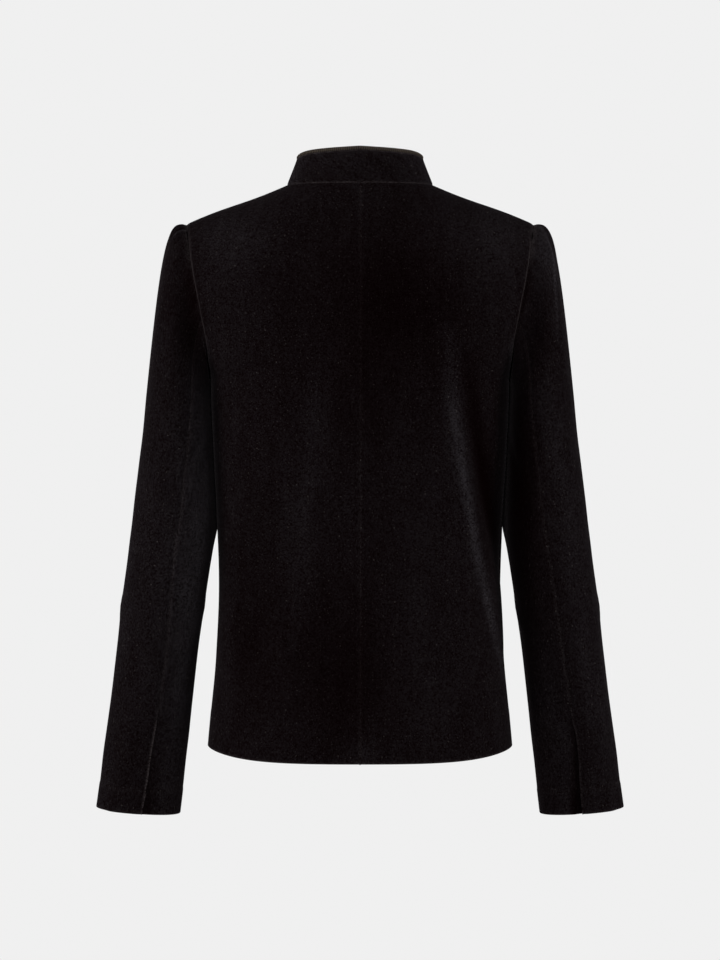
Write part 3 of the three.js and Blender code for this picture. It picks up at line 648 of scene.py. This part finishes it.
def dressed(points, normals, sewn, hems, glints):
    """Draws the cloth in at its seams, thickens its hems, marks the pile's worn places and paints highlight
    lines.
    """
    away = distances(points)
    dip = np.zeros(points.shape[:2])
    wear_and_highlight = np.zeros(points.shape[:2])
    for edge in EDGES:
        worn = SEAM_NAP if edge in sewn else EDGE_NAP
        wear_and_highlight = np.maximum(wear_and_highlight, worn * np.exp(-((away[edge] / NAP_WIDTH) ** 2)))
        if edge in sewn:
            dip = dip + SEAM_DIP * np.exp(-((away[edge] / SEAM_DIP_WIDTH) ** 2))
    for edge, depth, height, mark in hems:
        dip = dip - height * (1 - smooth(away[edge], depth - HEM_STEP_HALF, depth + HEM_STEP_HALF))
        wear_and_highlight = np.maximum(wear_and_highlight, mark * np.exp(-(((away[edge] - depth) / NAP_WIDTH) ** 2)))
    for edge, run, first, last, width, mark in glints:
        within = smooth(away[run], first - GLINT_START, first)
        within = within * (1 - smooth(away[run], last, last + GLINT_END))
        wear_and_highlight = np.maximum(wear_and_highlight, mark * within * np.exp(-((away[edge] / width) ** 2)))
    return points - normals * dip[..., None], wear_and_highlight


def ring_of(rows, columns):
    """Indices of a grid's edge points, once round."""
    low = [(0, j) for j in range(columns)]
    end = [(i, columns - 1) for i in range(1, rows)]
    high = [(rows - 1, j) for j in range(columns - 2, -1, -1)]
    start = [(i, 0) for i in range(rows - 2, 0, -1)]
    return np.array(low + end + high + start)


def edge_directions(points, ring):
    """Directions out of the cloth at its edge points."""
    rows, columns = points.shape[:2]
    total = np.zeros((len(ring), 3))
    for axis, last in ((0, rows - 1), (1, columns - 1)):
        for limit, step in ((0, 1), (last, -1)):
            at_edge = ring[:, axis] == limit
            beside = ring.copy()
            beside[:, axis] += step
            beside[~at_edge] = ring[~at_edge]
            gap = points[ring[:, 0], ring[:, 1]] - points[beside[:, 0], beside[:, 1]]
            total += np.where(at_edge[:, None], unit(gap), 0)
    return unit(total)


def rim_insets(ring, rows, columns, sewn):
    """How far the edge is drawn in: little along a seam, so that the two rims meet."""
    inset = np.full((len(ring), 1), FREE_INSET)
    at = {"start": ring[:, 1] == 0, "end": ring[:, 1] == columns - 1}
    at.update(low=ring[:, 0] == 0, high=ring[:, 0] == rows - 1)
    for edge in sewn:
        inset[at[edge]] = SEWN_INSET
    return inset


def wall_mesh(name, points, normals, marks, thickness, orient, sewn):
    """A closed wall with round edges, made in metres."""
    rows, columns = points.shape[:2]
    ring = ring_of(rows, columns)
    outward = edge_directions(points, ring)
    inner = points - normals * thickness
    i, j = ring[:, 0], ring[:, 1]
    inset = rim_insets(ring, rows, columns, sewn)
    points[i, j] -= outward * inset
    inner[i, j] -= outward * inset
    middle, half = (points[i, j] + inner[i, j]) / 2, (points[i, j] - inner[i, j]) / 2
    rims = []
    for step in range(1, RIM_STEPS + 1):
        turn = math.pi * step / (RIM_STEPS + 1)
        rims.append(middle + half * math.cos(turn) + outward * RIM_REACH * math.sin(turn))
    count = rows * columns
    flat = i * columns + j
    layers = [flat] + [2 * count + step * len(ring) + np.arange(len(ring)) for step in range(RIM_STEPS)]
    layers.append(count + flat)
    corner = (np.arange(rows - 1)[:, None] * columns + np.arange(columns - 1)).ravel()
    outer_faces = np.stack([corner, corner + 1, corner + columns + 1, corner + columns], 1)
    inner_faces = count + outer_faces[:, ::-1]
    rim_faces = []
    for upper, lower in zip(layers[:-1], layers[1:]):
        rim_faces.append(np.stack([upper, lower, np.roll(lower, -1), np.roll(upper, -1)], 1))
    faces = np.concatenate([outer_faces, *rim_faces, inner_faces])
    if orient < 0:
        faces = faces[:, ::-1]
    vertices = np.concatenate([points.reshape(-1, 3), inner.reshape(-1, 3), *rims]) * MM
    mesh = bpy.data.meshes.new(name)
    mesh.from_pydata(vertices.tolist(), [], faces.tolist())
    mesh.validate()
    for label, values in marks.items():
        kind, field = ("FLOAT", "value") if values.ndim == 2 else ("FLOAT_VECTOR", "vector")
        flat_values = values.reshape(count, -1)
        edge_values = np.tile(values[i, j].reshape(len(ring), -1), (RIM_STEPS, 1))
        layer = mesh.attributes.new(label, kind, "POINT")
        layer.data.foreach_set(field, np.concatenate([flat_values, flat_values, edge_values]).ravel())
    inside = np.zeros(len(faces), np.int32)
    inside[len(faces) - len(inner_faces):] = 1
    mesh.polygons.foreach_set("material_index", inside)
    mesh.polygons.foreach_set("use_smooth", np.ones(len(faces), bool))
    mesh.update()
    return mesh


def place(mesh, materials, slot, *nodes):
    piece = bpy.data.objects.new(mesh.name, mesh)
    bpy.context.scene.collection.objects.link(piece)
    for material in materials:
        mesh.materials.append(material)
    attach(piece, "root")
    if nodes:
        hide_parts(*nodes)
    return piece


def cloth(name, node, point_at, rows, columns, outward, side, thickness, sewn,
          hems=(), glints=(), painted_shading_at=None):
    """A piece of cloth on the form of its solid, made on the left and mirrored where side is -1."""
    points, normals = surface(point_at, rows, columns, outward)
    normals = level(points, normals)
    painted_shading = np.ones(points.shape[:2]) if painted_shading_at is None else painted_shading_at(points)
    away = distances(points)
    lie = stack(away["start"] * side, away["low"], 0) * MM
    points, wear_and_highlight = dressed(points, normals, sewn, hems, glints)
    if side < 0:
        points, normals = points * (-1, 1, 1), normals * (-1, 1, 1)
    # Marks: worn pile with painted highlight lines, painted light and shade, and the cloth's lie for its
    # pattern
    marks = {"wear_and_highlight": wear_and_highlight, "painted_shading": painted_shading, "lie": lie}
    mesh = wall_mesh(name, points, normals, marks, thickness, outward * side, sewn)
    return place(mesh, [velvet, velvet_back], "velvet", node)


# Materials
def node_material(name):
    material = bpy.data.materials.new(name)
    material.use_nodes = True
    tree = material.node_tree
    shader = tree.nodes["Principled BSDF"]
    coordinates = tree.nodes.new("ShaderNodeTexCoord")
    return material, tree, shader, coordinates.outputs["Object"]


def noise(tree, place_at, scale, detail, roughness=0.5, stretch=None):
    node = tree.nodes.new("ShaderNodeTexNoise")
    node.inputs["Scale"].default_value = scale
    node.inputs["Detail"].default_value = detail
    node.inputs["Roughness"].default_value = roughness
    if stretch:
        mapping = tree.nodes.new("ShaderNodeMapping")
        mapping.inputs["Scale"].default_value = stretch
        tree.links.new(place_at, mapping.inputs["Vector"])
        place_at = mapping.outputs["Vector"]
    tree.links.new(place_at, node.inputs["Vector"])
    return node.outputs["Fac"]


def math_node(tree, operation, first, second, clamp=False):
    node = tree.nodes.new("ShaderNodeMath")
    node.operation = operation
    node.use_clamp = clamp
    for socket, value in zip(node.inputs, (first, second)):
        if isinstance(value, (int, float)):
            socket.default_value = value
        else:
            tree.links.new(value, socket)
    return node.outputs[0]


def ramp(tree, factor, stops):
    node = tree.nodes.new("ShaderNodeValToRGB")
    elements = node.color_ramp.elements
    while len(elements) < len(stops):
        elements.new(0.5)
    for element, (position, colour) in zip(elements, stops):
        element.position = position
        element.color = (*colour, 1)
    tree.links.new(factor, node.inputs["Fac"])
    return node.outputs["Color"]


def mix(tree, factor, first, second):
    node = tree.nodes.new("ShaderNodeMix")
    node.data_type = "RGBA"
    for socket, value in ((node.inputs[0], factor), (node.inputs[6], first), (node.inputs[7], second)):
        if isinstance(value, tuple):
            socket.default_value = (*value, 1)
        else:
            tree.links.new(value, socket)
    return node.outputs[2]


def bump(tree, shader, height, distance, strength):
    node = tree.nodes.new("ShaderNodeBump")
    node.inputs["Distance"].default_value = distance
    node.inputs["Strength"].default_value = strength
    tree.links.new(height, node.inputs["Height"])
    tree.links.new(node.outputs["Normal"], shader.inputs["Normal"])


def attribute(tree, name, output):
    node = tree.nodes.new("ShaderNodeAttribute")
    node.attribute_name = name
    return node.outputs[output]


def cells_of(tree, at, scale):
    """Distance to the nearest point of a flat cell pattern and that cell's three random values."""
    cells = tree.nodes.new("ShaderNodeTexVoronoi")
    cells.voronoi_dimensions = "2D"
    cells.inputs["Scale"].default_value = scale
    tree.links.new(at, cells.inputs["Vector"])
    split = tree.nodes.new("ShaderNodeSeparateColor")
    tree.links.new(cells.outputs["Color"], split.inputs[0])
    return cells.outputs["Distance"], split.outputs


def lint_mask(tree, at, scale, radius, rarity):
    """Small specks, one in some of the cells of a pattern."""
    distance, values = cells_of(tree, at, scale)
    near = math_node(tree, "LESS_THAN", distance, radius)
    chosen = math_node(tree, "GREATER_THAN", values[0], rarity)
    # The specks' strength follows the painted light and shade
    share = math_node(tree, "MULTIPLY", values[1], attribute(tree, "painted_shading", "Fac"), True)
    return math_node(tree, "MULTIPLY", math_node(tree, "MULTIPLY", near, chosen), share)


def vector_math(tree, operation, first, second):
    node = tree.nodes.new("ShaderNodeVectorMath")
    node.operation = operation
    for socket, value in zip(node.inputs, (first, second)):
        if isinstance(value, tuple):
            socket.default_value = value
        else:
            tree.links.new(value, socket)
    return node.outputs["Vector"]


def velvet_material():
    """Short black pile: brushed patches, a grain of single tufts, worn edges with painted highlight lines,
    painted light and shade, and scattered lint.
    """
    material, tree, shader, _ = node_material("black_velvet")
    lie = attribute(tree, "lie", "Vector")
    mottle = noise(tree, lie, 15, 3, 0.5, (1, 0.22, 1))
    brushed = noise(tree, lie, 70, 4, 0.6, (1, 0.3, 1))
    pile = noise(tree, lie, 1500, 2)
    _, tufts = cells_of(tree, lie, 980)
    broad, narrow = math_node(tree, "MULTIPLY", mottle, 0.55), math_node(tree, "MULTIPLY", brushed, 0.45)
    shade = math_node(tree, "ADD", broad, narrow)
    colour = ramp(tree, shade, [
        (0.36, (0.00070, 0.00066, 0.00074)),
        (0.50, (0.00100, 0.00094, 0.00106)),
        (0.64, (0.00135, 0.00127, 0.00142)),
    ])
    wear_and_highlight, painted_shading = attribute(tree, "wear_and_highlight", "Fac"), attribute(tree, "painted_shading", "Fac")
    # Worn pile along seams and edges, and the painted highlight lines, mixed in as a lighter colour
    patchy = math_node(tree, "MULTIPLY", wear_and_highlight, math_node(tree, "ADD", brushed, 0.3), True)
    colour = mix(tree, patchy, colour, (0.0080, 0.0068, 0.0070))
    grain = math_node(tree, "ADD", math_node(tree, "MULTIPLY", tufts[0], 1.5), 0.18)
    fine = math_node(tree, "ADD", math_node(tree, "MULTIPLY", pile, 0.5), 0.75)
    # Painted light and shade scale the colour, together with the tufts' grain
    strength = math_node(tree, "MULTIPLY", painted_shading, math_node(tree, "MULTIPLY", grain, fine))
    scaled = tree.nodes.new("ShaderNodeVectorMath")
    scaled.operation = "SCALE"
    tree.links.new(colour, scaled.inputs[0])
    tree.links.new(strength, scaled.inputs["Scale"])
    colour = vector_math(tree, "ADD", scaled.outputs["Vector"], (0.00036, 0.00000, 0.00000))
    colour = mix(tree, lint_mask(tree, lie, 240, 0.12, 0.55), colour, (0.0058, 0.0050, 0.0050))
    colour = mix(tree, lint_mask(tree, lie, 90, 0.045, 0.72), colour, (0.0135, 0.0118, 0.0112))
    tree.links.new(colour, shader.inputs["Base Color"])
    shader.inputs["Roughness"].default_value = 0.95
    shader.inputs["Specular IOR Level"].default_value = 0.0
    shader.inputs["Sheen Weight"].default_value = 0.005
    shader.inputs["Sheen Roughness"].default_value = 0.35
    shader.inputs["Sheen Tint"].default_value = (1.0, 0.90, 0.96, 1)
    height = math_node(tree, "ADD", math_node(tree, "MULTIPLY", pile, 0.35), brushed)
    bump(tree, shader, height, 0.0012, 0.5)
    return material


def velvet_back_material():
    material, tree, shader, at = node_material("velvet_back")
    weave = noise(tree, at, 900, 2)
    colour = ramp(tree, weave, [(0.35, (0.0016, 0.0013, 0.0014)), (0.7, (0.0046, 0.0038, 0.0040))])
    tree.links.new(colour, shader.inputs["Base Color"])
    shader.inputs["Roughness"].default_value = 0.95
    shader.inputs["Specular IOR Level"].default_value = 0.02
    bump(tree, shader, weave, 0.0004, 0.4)
    return material


def edging_material():
    material, tree, shader, at = node_material("bronze_black_cord")
    thread = noise(tree, at, 1400, 2)
    # Painted highlights on the rib tops and painted shade in the grooves between them
    rib_highlight = attribute(tree, "wear_and_highlight", "Fac")
    lit = math_node(tree, "MULTIPLY", rib_highlight, math_node(tree, "ADD", thread, 0.45), True)
    colour = ramp(tree, lit, [
        (0.0, (0.0002, 0.0001, 0.0001)),
        (0.50, (0.0010, 0.0006, 0.0004)),
        (0.95, (0.0300, 0.0235, 0.0180)),
    ])
    tree.links.new(colour, shader.inputs["Base Color"])
    shader.inputs["Roughness"].default_value = 0.7
    shader.inputs["Specular IOR Level"].default_value = 0.02
    bump(tree, shader, thread, 0.0003, 0.5)
    return material


def button_material():
    material, tree, shader, at = node_material("black_horn")
    cloud = noise(tree, at, 240, 3, 0.6, (1, 1, 3))
    colour = ramp(tree, cloud, [(0.35, (0.002, 0.002, 0.002)), (0.75, (0.007, 0.006, 0.0055))])
    tree.links.new(colour, shader.inputs["Base Color"])
    tree.links.new(ramp(tree, cloud, [(0.3, (0.36,) * 3), (0.8, (0.52,) * 3)]), shader.inputs["Roughness"])
    shader.inputs["Specular IOR Level"].default_value = 0.08
    bump(tree, shader, cloud, 0.0002, 0.3)
    return material


velvet = velvet_material()
velvet_back = velvet_back_material()
cord_finish = edging_material()
horn = button_material()

# The cut pieces
body_rows = np.unique(np.concatenate([
    ticks(0, BODY_ROWS, 66, (0.05, 0.1, 0.2)),
    ticks(BODY_ROWS, BODY_ROWS + YOKE_ROWS, 72, (0.08, 0.16, 0.28)),
]))
back_columns = ticks(0, BODY_COLUMNS, 84, (0.06, 0.12, 0.2))
front_columns = ticks(-1, BODY_COLUMNS, 90, (0.06, 0.12, 0.2))
sleeve_rows = ticks(0, SLEEVE_TOP_ROW, 140, (0.06, 0.12, 0.2))
upper_columns = np.unique(np.concatenate([
    ticks(-ARM_BACK, -ARM_FRONT, 108, (0.9, 1.8, 3.0)),
    np.arange(-PLEATED_HALF_ANGLE, PLEATED_HALF_ANGLE, 0.85),
]))
under_columns = np.unique(np.concatenate([
    ticks(0, 1, 40, (0.012, 0.026, 0.045)),
    np.linspace(0.12, 0.24, 25),
]))
collar_turn_end = 180 - math.degrees(math.asin(COLLAR_END_X / NECK_X))

BODY_HEM = ("low", 38, 0.2, 0.0)
CUFF_HEM = ("low", 27, 0.45, 0.22)
# Lines that catch the light: the edge, where they run as distances from another edge, width and strength
NECK_GLINT = ("high", "start", 0, 90, 1.3, 0.85)
ARMHOLE_GLINTS = {
    1: [("end", "low", 160, 540, 1.3, 0.6), ("end", "low", 545, 640, 3.2, 0.3)],
    -1: [("end", "low", 160, 540, 1.3, 0.9), ("end", "low", 545, 640, 3.2, 0.3)],
}
HEAD_GLINT = ("high", "start", 66, 200, 3.4, 0.3)
VENT_GLINTS = {1: ("start", "low", 0, 100, 1.2, 0.85), -1: ("start", "low", 0, 100, 1.2, 0.12)}
HEM_GLINT = ("low", "start", -10, 400, 1.2, 0.9)
SEAM_GLINTS = {1: ("start", "low", 100, 470, 1.1, 0.14), -1: ("start", "low", 100, 470, 1.1, 0.05)}


# Painted light and shade for each piece
def painted_shading_on_body(face, side):
    return lambda points: painted_body_shading(face, side, points)


def painted_shading_on_sleeve(side, rows, angles):
    row, angle = np.meshgrid(rows, angles, indexing="ij")
    return lambda points: painted_sleeve_shading(side, row, angle)


def painted_shading_on_under_sleeve(side, rows, columns):
    row, column = np.meshgrid(rows, columns, indexing="ij")
    # Painted light and shade of the sleeve, with the painted shadow under the vent
    painted_shading = painted_sleeve_shading(side, row, lerp(ARM_BACK, 360 + ARM_FRONT, column)) + lap_shade(side, row, column)
    return lambda points: np.maximum(painted_shading, PAINTED_SHADING_LEAST)


for word, side in (("left", 1), ("right", -1)):
    cloth(
        f"velvet_back_{word}", f"back_{word}", lambda row, column, s=side: body_point(BACK, s, row, column),
        body_rows, back_columns, -1, side, WALL, ("start", "end", "high"), [BODY_HEM],
        [NECK_GLINT, HEM_GLINT, *ARMHOLE_GLINTS[side]], painted_shading_on_body(BACK, side))
    cloth(
        f"velvet_front_{word}", f"front_{word}", lambda row, column, s=side: front_point(s, row, column),
        body_rows, front_columns, 1, side, WALL, ("end", "high"), [BODY_HEM])
    cloth(
        f"velvet_upper_sleeve_{word}", f"upper_sleeve_{word}",
        lambda row, column, s=side: upper_sleeve_point(s, row, column),
        sleeve_rows, upper_columns, -1, side, WALL, ("start", "end", "high"), [CUFF_HEM],
        [VENT_GLINTS[side], SEAM_GLINTS[side], HEAD_GLINT],
        painted_shading_on_sleeve(side, sleeve_rows, -upper_columns))
    cloth(
        f"velvet_under_sleeve_{word}", f"under_sleeve_{word}",
        lambda row, column, s=side: under_sleeve_point(s, row, column),
        sleeve_rows, under_columns, 1, side, WALL, ("start", "end", "high"), [CUFF_HEM], (),
        painted_shading_on_under_sleeve(side, sleeve_rows, under_columns))

collar_rows = ticks(0, 1, 14, (0.03, 0.07, 0.12))
collar_turns = ticks(-collar_turn_end, collar_turn_end, 200, (0.8, 1.8))
# Painted light on the collar's sides and top
COLLAR_SIDE_PAINTED_LIGHT, COLLAR_TOP_PAINTED_LIGHT = 1.2, 0.45
COLLAR_SIDE_TURN, COLLAR_SIDE_HALF = 85, 34


def painted_collar_light(points):
    """Painted light on the collar: lighter round the neck's sides and along the top."""
    row, turn = np.meshgrid(collar_rows, collar_turns, indexing="ij")
    sides = np.exp(-(((np.abs(turn) - COLLAR_SIDE_TURN) / COLLAR_SIDE_HALF) ** 2))
    return 1 + COLLAR_SIDE_PAINTED_LIGHT * sides + COLLAR_TOP_PAINTED_LIGHT * row ** 2


collar = cloth(
    "velvet_collar", "collar", collar_point, collar_rows, collar_turns, -1, 1, COLLAR_WALL, ("low",),
    painted_shading_at=painted_collar_light)


CORD_RIB, CORD_STEP, CORD_SIDES, CORD_RADIUS, CORD_SINK = 2.3, 0.33, 18, 2.1, 0.3
CORD_POINTS = 400
CORD_CORE, CORD_RIDGE = 0.84, 0.22
CORD_TAPER, CORD_TIP = 1.2, 0.35


def cord_route():
    turns = np.linspace(-collar_turn_end, collar_turn_end, CORD_POINTS)
    points, normals = surface(collar_point, np.array([1 - EPSILON, 1.0]), turns, -1)
    top, normal = points[-1], normals[-1]
    along = unit(np.gradient(top, axis=0))
    upward = unit(np.cross(along, normal))
    upward = upward * np.sign(upward[:, 2:3])
    return top - normal * COLLAR_WALL / 2 + upward * (EDGING_RADIUS + EDGING_GAP - CORD_SINK)


def cord_mesh():
    """A ribbed cord along the collar's top edge."""
    route = cord_route()
    length = np.concatenate([[0], np.cumsum(np.linalg.norm(np.diff(route, axis=0), axis=1))])
    at = np.linspace(0, length[-1], int(length[-1] / CORD_STEP))
    middle = np.stack([np.interp(at, length, route[:, i]) for i in range(3)], 1)
    along = unit(np.gradient(middle, axis=0))
    side = unit(np.cross(along, (0.0, 0.0, 1.0)))
    rise = np.cross(side, along)
    turn = np.linspace(0, 2 * math.pi, CORD_SIDES, endpoint=False)
    phase = turn[None, :] - 2 * math.pi * at[:, None] / CORD_RIB
    lobe = np.abs(np.cos(phase / 2))
    taper = np.minimum(1, np.minimum(at, at[-1] - at) / CORD_TAPER + CORD_TIP)[:, None]
    radius = CORD_RADIUS * (CORD_CORE + CORD_RIDGE * lobe) * taper
    points = middle[:, None] + radius[..., None] * (
        np.cos(turn)[None, :, None] * side[:, None] + np.sin(turn)[None, :, None] * rise[:, None])
    count = len(at)
    start = (np.arange(count - 1)[:, None] * CORD_SIDES + np.arange(CORD_SIDES)).ravel()
    beside = (np.arange(count - 1)[:, None] * CORD_SIDES + (np.arange(CORD_SIDES) + 1) % CORD_SIDES).ravel()
    faces = np.stack([start, start + CORD_SIDES, beside + CORD_SIDES, beside], 1).tolist()
    faces.append(list(range(CORD_SIDES)))
    faces.append(list(range((count - 1) * CORD_SIDES, count * CORD_SIDES))[::-1])
    mesh = bpy.data.meshes.new("ribbed_edging")
    mesh.from_pydata((points.reshape(-1, 3) * MM).tolist(), [], faces)
    mesh.validate()
    # The rib tops get painted highlights, the grooves painted shade
    marks = mesh.attributes.new("wear_and_highlight", "FLOAT", "POINT")
    marks.data.foreach_set("value", (lobe ** 2).ravel())
    mesh.polygons.foreach_set("use_smooth", np.ones(len(mesh.polygons), bool))
    mesh.update()
    return mesh


edging = place(cord_mesh(), [cord_finish], "edging", "collar_edging")

for name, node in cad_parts.items():
    if name.startswith("button_"):
        node.data.materials.clear()
        node.data.materials.append(horn)

# Room, lights and camera
CAMERA_DISTANCE = 2600.0
CAMERA_HEIGHT = -269.0
PIXEL = 1.06
FRAME_HEIGHT = 960
SENSOR = 36.0
FLOOR_Z = -1.4
FLOOR_RADIUS = 3.0


def floor():
    bpy.ops.mesh.primitive_circle_add(
        vertices=96, radius=FLOOR_RADIUS, fill_type="NGON", location=(0, 0, FLOOR_Z))
    plane = bpy.context.object
    plane.name = "studio_floor"
    material, tree, shader, at = node_material("pale_floor")
    colour = ramp(tree, noise(tree, at, 3, 2), [(0.3, (0.95, 0.95, 0.95)), (0.7, (0.97, 0.97, 0.97))])
    tree.links.new(colour, shader.inputs["Base Color"])
    shader.inputs["Roughness"].default_value = 1.0
    shader.inputs["Specular IOR Level"].default_value = 0.0
    plane.data.materials.append(material)


LIGHT_SPREAD = 80
LIGHTS_AIM = (0, 0, -0.25)
LIGHTS = named("name x y z width height power", [
    ("left_window", 2.6, 0.8, 0.25, 1.0, 2.0, 40),
    ("right_window", -2.6, 0.5, 0.15, 0.7, 1.8, 30),
    ("back_window", 0.3, 3.0, 0.5, 1.6, 1.6, 34),
    ("top_window", 0.3, 0.3, 2.4, 1.4, 0.8, 7),
    ("front_window", 0.9, -2.6, 0.6, 1.2, 1.6, 34),
])
BACKGROUND = (0.87, 0.87, 0.87, 1)


def soft_light(lamp):
    data = bpy.data.lights.new(lamp.name, "AREA")
    data.shape = "RECTANGLE"
    data.size, data.size_y = lamp.width, lamp.height
    data.energy = lamp.power
    data.spread = math.radians(LIGHT_SPREAD)
    light = bpy.data.objects.new(lamp.name, data)
    bpy.context.scene.collection.objects.link(light)
    light.location = (lamp.x, lamp.y, lamp.z)
    aim = Vector(LIGHTS_AIM) - light.location
    light.rotation_euler = aim.to_track_quat("-Z", "Y").to_euler()


floor()
world = bpy.data.worlds.new("studio")
bpy.context.scene.world = world
world.use_nodes = True
world.node_tree.nodes["Background"].inputs["Color"].default_value = BACKGROUND
world.node_tree.nodes["Background"].inputs["Strength"].default_value = 1.0
for lamp in LIGHTS:
    soft_light(lamp)

camera = bpy.data.objects.new("camera", bpy.data.cameras.new("camera"))
bpy.context.scene.collection.objects.link(camera)
camera.data.sensor_width = SENSOR
camera.data.lens = SENSOR * CAMERA_DISTANCE / (PIXEL * FRAME_HEIGHT)
camera.location = (0, CAMERA_DISTANCE * MM, CAMERA_HEIGHT * MM)
camera.rotation_euler = (math.radians(90), 0, math.radians(180))
bpy.context.scene.camera = camera
bpy.context.scene.view_settings.view_transform = "Standard"
